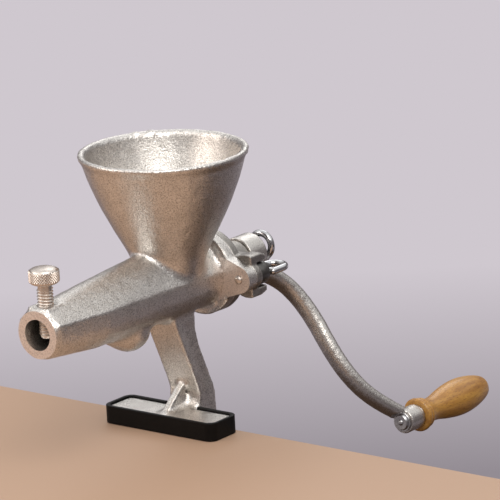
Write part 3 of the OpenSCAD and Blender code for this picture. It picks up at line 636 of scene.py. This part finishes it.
def knurl_tree():
    """Staggered rows of small pyramids around Z."""
    tree, given = new_tree("diamond knurl", "Radius", "Length", "Around", "Rows")
    radius, around = given["Radius"], given["Around"]
    total = add(tree, "ShaderNodeMath", [around, given["Rows"]], operation="MULTIPLY")
    whole = add(tree, "FunctionNodeFloatToInt", [total])
    dots = add(tree, "GeometryNodeMeshLine", {"Count": whole, "Offset": (0, 0, 0)})

    index = add(tree, "GeometryNodeInputIndex")
    passed = add(tree, "ShaderNodeMath", [index, around], operation="DIVIDE")
    row = add(tree, "ShaderNodeMath", [passed], operation="FLOOR")
    column = add(tree, "ShaderNodeMath", [index, around], operation="MODULO")
    odd = add(tree, "ShaderNodeMath", [row, 2.0], operation="MODULO")
    place = add(tree, "ShaderNodeMath", [odd, 0.5, column], operation="MULTIPLY_ADD")
    share = add(tree, "ShaderNodeMath", [place, around], operation="DIVIDE")
    angle = add(tree, "ShaderNodeMath", [share, 2 * math.pi], operation="MULTIPLY")
    middle = add(tree, "ShaderNodeMath", [row, 0.5], operation="ADD")
    level = add(tree, "ShaderNodeMath", [middle, given["Rows"]], operation="DIVIDE")
    at = {"Z": add(tree, "ShaderNodeMath", [level, given["Length"]], operation="MULTIPLY")}
    for name, wave in (("X", "COSINE"), ("Y", "SINE")):
        unit = add(tree, "ShaderNodeMath", [angle], operation=wave)
        at[name] = add(tree, "ShaderNodeMath", [unit, radius], operation="MULTIPLY")
    placed = add(tree, "GeometryNodeSetPosition", {"Geometry": dots,
                 "Position": add(tree, "ShaderNodeCombineXYZ", at)})

    turn = add(tree, "ShaderNodeCombineXYZ", [0.0, math.pi / 2, angle])
    girth = add(tree, "ShaderNodeMath", [radius, 2 * math.pi], operation="MULTIPLY")
    width = add(tree, "ShaderNodeMath", [girth, around], operation="DIVIDE")
    half, tip, depth = [add(tree, "ShaderNodeMath", [width, part], operation="MULTIPLY")
                        for part in (FOOT_SHARE, TIP_SHARE, SPIKE_SHARE)]
    spike = add(tree, "GeometryNodeMeshCone", {"Vertices": 4, "Radius Bottom": half,
                "Radius Top": tip, "Depth": depth})
    tall = add(tree, "GeometryNodeTransform", {"Geometry": spike, "Scale": (TALL, 1.0, 1.0)})
    spikes = add(tree, "GeometryNodeInstanceOnPoints", {"Points": placed, "Instance": tall,
                 "Rotation": turn})
    return close_tree(tree, given, spikes)


KNURL = knurl_tree()

# %% [markdown]
# ### The knurled nozzle screw
# The head is turned, its rim is knurled, and the shank has a coarse thread down to a plain tip.
# All heights are in mm from the barrel's axis.

# %% Nozzle screw
screw_box_low, screw_box_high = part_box("nozzle_screw")
SCREW_X = (screw_box_low.x + screw_box_high.x) / 2
screw_axis = Vector((SCREW_X, AXIS.y, AXIS.z))
HEAD_R = (screw_box_high.x - screw_box_low.x) / 2 / MM
HEAD_TOP = (screw_box_high.z - AXIS.z) / MM - 1
HEAD_FOOT = HEAD_TOP - 11
TIP = (screw_box_low.z - AXIS.z) / MM
SHANK_R, THREAD_DEPTH, PITCH = 5.9, 0.8, 2.2
SHANK_TOP = HEAD_FOOT - 3
KNURL_R = HEAD_R - 0.55
core = taken(turned("screw_core", [
    (TIP, 0.0), (TIP, 4.4), (TIP + 1.5, SHANK_R - THREAD_DEPTH),
    (SHANK_TOP, SHANK_R - THREAD_DEPTH), (HEAD_FOOT - 2.4, SHANK_R - 0.9),
    (HEAD_FOOT, SHANK_R - 0.9), (HEAD_FOOT, HEAD_R - 2.6), (HEAD_FOOT + 0.7, HEAD_R - 1.2),
    (HEAD_FOOT + 1.9, KNURL_R), (HEAD_TOP - 1.6, KNURL_R), (HEAD_TOP - 0.5, HEAD_R - 1.3),
    (HEAD_TOP, HEAD_R - 2.2), (HEAD_TOP + 0.55, HEAD_R - 4), (HEAD_TOP + 0.9, 2.5),
    (HEAD_TOP + 0.9, 0.0)], screw_axis, (0, 0, 1), NICKEL, 96))
thread = run_tree(THREAD, "screw_thread", NICKEL, Crest=SHANK_R * MM, Depth=THREAD_DEPTH * MM,
                  Pitch=PITCH * MM, Length=(SHANK_TOP - TIP - PITCH) * MM)
knurl = run_tree(KNURL, "screw_knurl", NICKEL, Radius=(KNURL_R + 0.1) * MM,
                 Length=(HEAD_TOP - HEAD_FOOT - 3.6) * MM, Around=34.0, Rows=7.0)
joined("knurled_screw", [
    (core, Matrix()),
    (thread, Matrix.Translation(screw_axis + Vector((0, 0, (TIP + 1.8) * MM)))),
    (knurl, Matrix.Translation(screw_axis + Vector((0, 0, (HEAD_FOOT + 2) * MM))))],
    "nozzle_screw", "nozzle_screw")

# %% [markdown]
# ### Screws with wire loops
# Each cover screw is a plated stud, a dark turned collar and an eye behind it, with a loop of
# bright wire in the eye's cross-hole. The crank's own screw is the same with a thin collar. Stud
# and collar differ in finish, so they are two turned bodies in one piece. Lengths come from the
# solid's box and the loop's pivot.

# %% Screws
NEAR, FAR, HUB = [PIVOTS[name + "_loop_fold"] for name in ("near", "far", "hub")]
EYE_L = 7.0
COVER_COLLAR, HUB_COLLAR = (8.7, 10.5, 5.2), (8.2, 1.2, 6.0)  # radius, length, eye's radius


def loop_screw(name, node, body, pivot, collar_r, collar_l, eye_r):
    """A stud towards -X, a collar and an eye whose middle is the loop's pivot."""
    start = Vector((pivot.x - (EYE_L / 2 + collar_l) * MM, pivot.y, pivot.z))
    stud_l = (start.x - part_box(node)[0].x) / MM
    soft = min(1.0, collar_l / 3)
    end = collar_l + EYE_L
    stud = turned(name + "_stud", [(-stud_l, 0.0), (-stud_l, 1.4), (-stud_l + 0.3, 2.2),
                  (-stud_l + 1.2, 3.1), (0.3, 3.1), (0.3, 0.0)], start, (1, 0, 0), NICKEL, 48)
    rim = [(0.0, 0.0), (0.0, collar_r - soft), (soft * 0.35, collar_r - soft * 0.3),
           (soft, collar_r), (collar_l - soft, collar_r),
           (collar_l - soft * 0.35, collar_r - soft * 0.3), (collar_l, collar_r - soft)]
    eye = [(collar_l, eye_r + 0.7), (collar_l + 0.2, eye_r + 0.2), (collar_l + 0.7, eye_r),
           (end - 1.3, eye_r), (end - 0.5, eye_r - 0.35), (end - 0.1, eye_r - 1.1),
           (end, eye_r - 1.9), (end, 0.0)]
    collar = turned(name + "_collar", rim + eye, start, (1, 0, 0), DARK_STEEL)
    joined(name, [(taken(stud), Matrix()), (taken(collar), Matrix())], node, body)


loop_screw("near_screw_piece", "near_cover_screw", "near_screw", NEAR, *COVER_COLLAR)
loop_screw("far_screw_piece", "far_cover_screw", "far_screw", FAR, *COVER_COLLAR)
loop_screw("hub_screw_piece", "hub_screw", "crank", HUB, *HUB_COLLAR)

# %% [markdown]
# A loop is one round wire, bent into a half circle with two straight legs whose ends turn in
# towards each other and sit in the eye's hole. The tree sweeps a circle along each stretch of
# the route, and puts a ball at each sharp corner, where two tubes would leave a gap.

# %% Wire tree
def wire_tree():
    """A round wire along a half loop with two straight legs, in the X-Y plane."""
    tree, given = new_tree("wire loop", "Reach", "Leg", "Wire")
    reach, leg_l = given["Reach"], given["Leg"]
    ring = add(tree, "GeometryNodeCurvePrimitiveCircle", {"Resolution": 24,
               "Radius": given["Wire"]}, mode="RADIUS")
    arc = add(tree, "GeometryNodeCurveArc", {"Resolution": 40, "Radius": reach,
              "Start Angle": -math.pi / 2, "Sweep Angle": math.pi}, mode="RADIUS")
    bend = add(tree, "GeometryNodeTransform", {"Geometry": arc,
               "Translation": add(tree, "ShaderNodeCombineXYZ", {"X": leg_l})})
    route, balls = [bend], []
    back = add(tree, "ShaderNodeMath", [reach, -1.0], operation="MULTIPLY")
    for side in (back, reach):
        inwards = add(tree, "ShaderNodeMath", [side, 0.2], operation="MULTIPLY")
        end = add(tree, "ShaderNodeCombineXYZ", {"Y": inwards})
        corner = add(tree, "ShaderNodeCombineXYZ", {"Y": side})
        knee = add(tree, "ShaderNodeCombineXYZ", {"X": leg_l, "Y": side})
        for start, stop in ((corner, knee), (end, corner)):
            route.append(add(tree, "GeometryNodeCurvePrimitiveLine", {"Start": start,
                             "End": stop}))
        ball = add(tree, "GeometryNodeMeshUVSphere", {"Segments": 24, "Rings": 12,
                   "Radius": given["Wire"]})
        balls.append(add(tree, "GeometryNodeTransform", {"Geometry": ball,
                         "Translation": corner}))
    tubes = [add(tree, "GeometryNodeCurveToMesh", {"Curve": stretch, "Profile Curve": ring,
             "Fill Caps": True}) for stretch in route]
    bundle = add(tree, "GeometryNodeJoinGeometry")
    for part in tubes + balls:
        feed(bundle.node, [part])
    return close_tree(tree, given, bundle)


WIRE = wire_tree()

# %% [markdown]
# The cover screws' loops rest level and point straight back from their eyes. The crank's one is
# folded up and leans to the near side. Each is made in its own plane, and then turned to where it
# rests.

# %% Wire loops
WIRE_R, SLACK, COVER_LEG, HUB_LEG = 2.6, 0.3, 11, 6.6
FOLDED = Matrix.Rotation(math.radians(45), 4, "X") @ Matrix.Rotation(math.radians(-90), 4, "Y")


def wire_loop(name, node, body, pivot, turn, eye_r, leg):
    """A loop at its pivot. turn takes it from straight back to where it rests."""
    reach = eye_r + WIRE_R + SLACK
    mesh = run_tree(WIRE, name, CHROME, Reach=reach * MM, Leg=leg * MM, Wire=WIRE_R * MM)
    joined(name, [(mesh, Matrix.Translation(pivot) @ turn)], node, body)


wire_loop("near_wire", "near_screw_loop", "near_loop", NEAR, Matrix(), COVER_COLLAR[2],
          COVER_LEG)
wire_loop("far_wire", "far_screw_loop", "far_loop", FAR, Matrix(), COVER_COLLAR[2], COVER_LEG)
wire_loop("hub_wire", "hub_screw_loop", "hub_loop", HUB, FOLDED, HUB_COLLAR[2], HUB_LEG)

# %% [markdown]
# ## The crank's end
# The handle's pin is riveted: its low head, with a small raised middle, lies in front of the
# boss, and its flat upset end lies in the grip's recess. The head's rim is a quarter of an
# ellipse, drawn by its formula. The three plain washers take their sizes from their solids.

# %% Pin and washers
PIN = PIVOTS["grip_spin"]
PIN_R, HEAD_H = 4.0, 3.0
PIN_HOLE_R, HUB_HOLE_R, EDGE = 4.05, 3.25, 0.25
pin_low, pin_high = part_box("handle_pin")
RIVET_R = (pin_high.z - pin_low.z) / 2 / MM
PIN_L = (pin_high.x - pin_low.x) / MM
rim = [(HEAD_H - HEAD_H * math.cos(math.radians(a)), RIVET_R * math.sin(math.radians(a)))
       for a in (58, 66, 74, 82, 90)]
rivet = turned("rivet_pin", [(0.2, 0.0), (0.3, 1.2), (0.8, 2.0), (1.5, 2.3), *rim,
               (HEAD_H, PIN_R), (PIN_L - 2, PIN_R), (PIN_L - 2, 5.3), (PIN_L - 0.4, 5.2),
               (PIN_L, 4.6), (PIN_L, 0.0)],
               Vector((pin_low.x, PIN.y, PIN.z)), (1, 0, 0), ZINC, sharp_deg=35)
stands_for(rivet, "handle_pin", "crank")
for name, node, body, inner_r in (("dome_washer", "boss_washer", "crank", PIN_HOLE_R),
                                  ("grip_back_washer", "grip_washer", "grip", PIN_HOLE_R),
                                  ("shaft_washer", "hub_washer", "crank", HUB_HOLE_R)):
    low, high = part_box(node)
    outer_r = (high.z - low.z) / 2 / MM
    thick = (high.x - low.x) / MM
    centre = Vector((low.x, (low.y + high.y) / 2, (low.z + high.z) / 2))
    washer = turned(name, [(0, inner_r), (0, outer_r - EDGE), (EDGE, outer_r),
                    (thick - EDGE, outer_r), (thick, outer_r - EDGE), (thick, inner_r),
                    (0, inner_r)], centre, (1, 0, 0), ZINC)
    stands_for(washer, node, body)

# %% [markdown]
# ## The wooden grip
# The grip is beech, turned and varnished. Its grain runs along the turning axis, so the noise of
# the growth rings and the fibres is stretched about 12 times along X. Short dark flecks are the
# rays that beech shows, and the varnish is a thin clear coat over them.

# %% Beech
def varnished_beech(name, centre):
    material, tree, shader, place = new_material(name)
    along = add(tree, "ShaderNodeMapping", {"Vector": place, "Location": -centre})
    growth, fibres, flecks = [add(tree, "ShaderNodeTexNoise", {
        "Vector": add(tree, "ShaderNodeMapping", {"Vector": along, "Scale": (squeeze, 1.0, 1.0)}),
        "Scale": 1 / (size_mm * MM), "Detail": detail, "Roughness": rough})
        for squeeze, size_mm, detail, rough in ((0.08, 5.0, 4.0, 0.6), (0.08, 0.7, 3.0, 0.6),
                                                (0.3, 0.9, 1.0, 0.4))]
    wood = add(tree, "ShaderNodeValToRGB", {"Fac": growth},
               stops=[(0.28, "#926125"), (0.5, "#b17e37"), (0.72, "#c89645")])
    colour = wood
    for pattern, start, end, most, dark in ((fibres, 0.45, 0.75, 0.45, "#8a5a29"),
                                            (flecks, 0.58, 0.72, 0.55, "#6f451e")):
        share = add(tree, "ShaderNodeMapRange", {"Value": pattern, "From Min": start,
                    "From Max": end, "To Max": most})
        colour = add(tree, "ShaderNodeMix", {"Factor": share, "A": colour, "B": dark},
                     data_type="RGBA")
    rough = add(tree, "ShaderNodeMapRange", {"Value": fibres, "From Min": 0.3, "From Max": 0.7,
                "To Min": 0.38, "To Max": 0.5})
    bump = add(tree, "ShaderNodeBump", {"Height": fibres, "Strength": 0.15,
               "Distance": 0.08 * MM})
    feed(shader, {"Base Color": colour, "Roughness": rough, "Normal": bump,
                  "Coat Weight": 0.35, "Coat Roughness": 0.22})
    return material


grip_low, grip_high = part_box("wooden_grip")
GRIP_L = (grip_high.x - grip_low.x) / MM
grip_start = Vector((grip_low.x, PIN.y, PIN.z))
BEECH = varnished_beech("varnished_beech", grip_start)
print("grip", round(GRIP_L, 1), "mm long")

# %% [markdown]
# The grip is one turned outline: a collar with a groove, a slim waist, a full belly and a round
# end, and then back along the bore. Its long curve is a smooth spline through a few radii that a
# turner would gauge.

# %% Grip
def smooth_outline(knots, steps):
    """Points along a Catmull-Rom spline through knots."""
    ends = [knots[0], *knots, knots[-1]]
    points = []
    for k in range(1, len(ends) - 2):
        p = [np.array(ends[k + d], float) for d in (-1, 0, 1, 2)]
        for i in range(steps):
            t = i / steps
            points.append(tuple(0.5 * (2 * p[1] + (p[2] - p[0]) * t
                          + (2 * p[0] - 5 * p[1] + 4 * p[2] - p[3]) * t ** 2
                          + (3 * p[1] - p[0] - 3 * p[2] + p[3]) * t ** 3)))
    return points + [tuple(knots[-1])]


RECESS_R, RECESS_L = 5.8, 4
collar = [(0.0, PIN_HOLE_R), (0.0, 11.2), (0.6, 12.2), (1.6, 12.7), (3.0, 12.7), (4.2, 12.2),
          (4.7, 11.4), (5.0, 11.0), (5.5, 11.4), (6.2, 11.8), (7.4, 11.7), (8.1, 11.2)]
long_curve = smooth_outline([(8.5, 10.5), (12.0, 9.5), (17.0, 9.0), (24.0, 9.6), (34.0, 11.7),
                             (46.0, 13.4), (56.0, 13.7), (66.0, 12.7), (75.0, 10.8),
                             (81.0, 8.8), (GRIP_L - 1.2, 7.4), (GRIP_L, 6.4)], 6)
bore = [(GRIP_L, RECESS_R), (GRIP_L - RECESS_L, RECESS_R), (GRIP_L - RECESS_L, PIN_HOLE_R),
        (0.0, PIN_HOLE_R)]
grip = turned("beech_grip", collar + long_curve + bore, grip_start, (1, 0, 0), BEECH, 96, 35)
stands_for(grip, "wooden_grip", "grip")

# %% [markdown]
# ## The clamp under the table
# A turned screw with a coarse thread, a swivel pad whose cup turns on the screw's round end, and a
# tommy bar with two knobs pressed on. Heights are in mm from the frame's origin, which lies on
# the screw's axis at the foot of the boot.

# %% Clamp screw
SCREW_R, SCREW_DEPTH, SCREW_PITCH, NECK_R, EYE_R = 5.8, 0.7, 2.0, 5.1, 8.4
bar_low, bar_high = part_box("tommy_bar")
BAR_Z = (bar_low.z + bar_high.z) / 2 / MM
foot, top = [corner.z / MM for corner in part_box("clamp_screw")]
clamp_core = taken(turned("clamp_core", [
    (foot, 0.0), (foot, EYE_R - 1.4), (foot + 0.4, EYE_R - 0.5), (foot + 1.4, EYE_R),
    (BAR_Z + 5.4, EYE_R), (BAR_Z + 6.4, EYE_R - 0.4), (BAR_Z + 8, NECK_R), (top - 6, NECK_R),
    (top - 5, 4.3), (top - 3.8, 4.3), (top - 3, 6.0), (top - 1, 6.0), (top, 5.0), (top, 0.0)],
    Vector(), (0, 0, 1), ZINC))
clamp_thread = run_tree(THREAD, "clamp_thread", ZINC, Crest=SCREW_R * MM,
                        Depth=SCREW_DEPTH * MM, Pitch=SCREW_PITCH * MM,
                        Length=(top - 6 - BAR_Z - 10) * MM)
joined("clamp_spindle", [(clamp_core, Matrix()), (clamp_thread, Matrix.Translation(
    (0, 0, (BAR_Z + 9) * MM)))], "clamp_screw", "clamp_screw")

# %% Pad, bar and knobs
CUP_R, BAR_R, KNOB_L = 7.1, 3.0, 6.0
PIN_PRICK = 0.01  # too small to see; it lets the pad's outline come back to its start
pad_foot = Vector((0, 0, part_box("swivel_pad")[0].z))
pad = turned("clamp_pad", [(0.0, CUP_R), (0.0, 9.8), (0.5, 10.2), (4.2, 13.6), (5.0, 14.0),
             (6.4, 14.0), (7.0, 13.4), (7.0, 9.0), (6.8, 8.6), (6.8, PIN_PRICK),
             (6.0, PIN_PRICK), (6.0, CUP_R), (0.0, CUP_R)], pad_foot, (0, 0, 1), ZINC)
stands_for(pad, "swivel_pad", "pad")

left, right = bar_low.y / MM, bar_high.y / MM
rod = turned("tommy_rod", [(left, 0.0), (left, BAR_R - 0.4), (left + 0.4, BAR_R),
             (right - 0.4, BAR_R), (right, BAR_R - 0.4), (right, 0.0)],
             Vector((0, 0, BAR_Z * MM)), (0, 1, 0), ZINC, 48)
stands_for(rod, "tommy_bar", "tommy_bar")

knob_outline = [(0.0, BAR_R), (0.0, 4.0), (0.3, 4.6), (1.0, 5.0), (5.0, 5.0), (5.7, 4.6),
                (KNOB_L, 4.0), (KNOB_L, BAR_R), (0.0, BAR_R)]
knobs = [taken(turned(f"knob_{i}", knob_outline, Vector((0, y, BAR_Z * MM)), (0, 1, 0), ZINC, 48))
         for i, y in enumerate((bar_low.y, bar_high.y - KNOB_L * MM))]
joined("bar_knobs", [(mesh, Matrix()) for mesh in knobs], "tommy_bar_knobs", "tommy_bar")

# %% [markdown]
# ## Pieces whose solids are already right
# The bush and the thrust washer sit inside the cover. Their solids are exact turned rings, so
# they keep their own meshes and only get a finish: sintered bronze, and fibre pressed from
# strands, which is brown, matt and a little streaked.

# %% Finishes on carried solids
def pressed_fibre(name):
    material, tree, shader, place = new_material(name)
    strands = add(tree, "ShaderNodeTexNoise", {"Vector": place, "Scale": 1 / (1.2 * MM),
                  "Detail": 5.0, "Roughness": 0.7})
    colour = add(tree, "ShaderNodeValToRGB", {"Fac": strands},
                 stops=[(0.3, "#6b3a22"), (0.7, "#8c5233")])
    feed(shader, {"Base Color": colour, "Roughness": 0.7})
    return material


BRONZE = steel("sintered_bronze", "#8a6238", "#a97c49", 0.38)
FIBRE = pressed_fibre("pressed_fibre")
for node, material in (("shaft_bush", BRONZE), ("thrust_washer", FIBRE)):
    mesh = frame["nodes"][node].data
    mesh.materials.clear()
    mesh.materials.append(material)
    print(node, "in", material.name)

# %% [markdown]
# ## Table top
# The grinder is clamped to the edge of a plain pale table top, so the slab ends just before the
# clamp's spine, and its top lies a hair under the boot.

# %% Table top
SLAB_EDGE_X, SLAB_T, SLAB_GAP = 0.0174, 0.0232, 0.0003
SLAB_L, SLAB_W = 2.4, 4.0
slab_mesh = bpy.data.meshes.new("table_top")
slab = bmesh.new()
bmesh.ops.create_cube(slab, size=1.0)
slab.to_mesh(slab_mesh)
slab.free()
slab_mesh.transform(Matrix.Diagonal((SLAB_L, SLAB_W, SLAB_T, 1.0)))
slab_mesh.transform(Matrix.Translation((SLAB_EDGE_X - SLAB_L / 2, 0, -SLAB_T / 2 - SLAB_GAP)))
table_top = bpy.data.objects.new("table_top", slab_mesh)
SCENE.collection.objects.link(table_top)
slab_paint, _, slab_shader, _ = new_material("pale_table_top")
feed(slab_shader, {"Base Color": "#ac8e77", "Roughness": 0.6})
slab_mesh.materials.append(slab_paint)
print("table edge at x", SLAB_EDGE_X)

# %% [markdown]
# ## Lamps
# Three soft square lamps are aimed at the grinder's middle: a key lamp in front and above, a
# warmer and weaker one on the left, and a faint one behind, which lifts the edges there. Large
# lamps give wide soft bands on metal, where small ones would give hard spots.

# %% Lamps
MIDDLE = Vector((0.04, 0, 0.08))
LAMPS = (  # name, place in metres, side in metres, power in watts, colour
    ("key", (-0.6, -0.7, 1.15), 0.9, 10, "#fffaf4"),
    ("fill", (-0.9, 0.7, 0.7), 0.7, 5, "#fff2e8"),
    ("rim", (0.9, 0.5, 0.8), 0.6, 1.6, "#ffffff"))
for name, location, side, power, colour in LAMPS:
    data = bpy.data.lights.new(name, "AREA")
    data.shape = "RECTANGLE"
    data.size = data.size_y = side
    data.energy = power
    data.color = linear(colour)[:3]
    light = bpy.data.objects.new(name, data)
    light.location = location
    light.rotation_mode = "QUATERNION"
    light.rotation_quaternion = (MIDDLE - Vector(location)).to_track_quat("-Z", "Y")
    SCENE.collection.objects.link(light)
    print("lamp", name, power, "W")

# %% [markdown]
# ## The room
# Metal shows nothing of its own, so it needs a room that differs from side to side. The room is
# painted by direction, in the world: pale on the left and dark on the right, a pale lavender wall
# behind the grinder with a darker skirting, a dim warm floor far below, a grey belt from the
# horizon up, and a white ceiling. Each layer is blended over the ones before it. A direction's
# share in a layer is how far it leans that way, or how far it points up.

# %% Room
world = bpy.data.worlds.new("soft_room")
world.use_nodes = True
SCENE.world = world
room = world.node_tree
toward = add(room, "ShaderNodeTexCoord", give="Generated")
upward = add(room, "ShaderNodeSeparateXYZ", {"Vector": toward}, give="Z")
behind, rightward = [add(room, "ShaderNodeVectorMath", [toward, direction], give="Value",
                         operation="DOT_PRODUCT")
                     for direction in ((0.78, 0.626, 0.0), (0.626, -0.78, 0.0))]
LAYERS = (  # what it follows, where it starts and is whole, and its colour
    (rightward, -0.7, 0.5, "#544e4b"),
    (behind, 0.35, 0.8, "#cfc8cf"),
    (upward, -0.268, -0.312, "#938c93"),
    (upward, -0.34, -0.7, "#4a3a30"),
    (upward, -0.14, 0.02, "#7f797b"),
    (upward, 0.3, 0.55, "#ffffff"))
painted = "#c9bcb4"
for value, start, end, colour in LAYERS:
    share = add(room, "ShaderNodeMapRange", {"Value": value, "From Min": start,
                "From Max": end})
    painted = add(room, "ShaderNodeMix", {"Factor": share, "A": painted, "B": colour},
                  data_type="RGBA")
feed(room.nodes["Background"], {"Color": painted, "Strength": 1.0})
SCENE.view_settings.view_transform = "Standard"
print("room layers", len(LAYERS))

# %% [markdown]
# ## Camera
# A long lens from the front left, a little above the table, and tilted by three degrees. It is
# placed so that the barrel's axis under the hopper falls on a chosen point of the image.

# %% Camera
AZIMUTH, ELEVATION, ROLL = (math.radians(v) for v in (-51.24, 15.22, 3.07))
FOCAL_PX, HALF_IMAGE_PX = 4500.0, 250.0
AIM_PX = (170.63, 283.62)
DISTANCE, SENSOR_MM = 3.22472, 36.0
back = Vector((math.sin(AZIMUTH) * math.cos(ELEVATION), -math.cos(AZIMUTH) * math.cos(ELEVATION),
               math.sin(ELEVATION)))
level = Vector((math.cos(AZIMUTH), math.sin(AZIMUTH), 0))
rise = back.cross(level)
rightwards = math.cos(ROLL) * level - math.sin(ROLL) * rise
upwards = math.sin(ROLL) * level + math.cos(ROLL) * rise
off_x, off_y = [(px - HALF_IMAGE_PX) / FOCAL_PX * DISTANCE for px in AIM_PX]
eye = AXIS - (-back * DISTANCE + rightwards * off_x - upwards * off_y)
camera_data = bpy.data.cameras.new("view_camera")
camera_data.sensor_width = SENSOR_MM
camera_data.lens = FOCAL_PX / (2 * HALF_IMAGE_PX) * SENSOR_MM
camera_data.clip_start, camera_data.clip_end = 0.1, 50.0
camera = bpy.data.objects.new("view_camera", camera_data)
camera.matrix_world = (Matrix.Translation(eye)
                       @ Matrix((rightwards, upwards, back)).transposed().to_4x4())
SCENE.collection.objects.link(camera)
SCENE.camera = camera
print("camera", [round(v, 3) for v in eye], "lens", camera_data.lens)
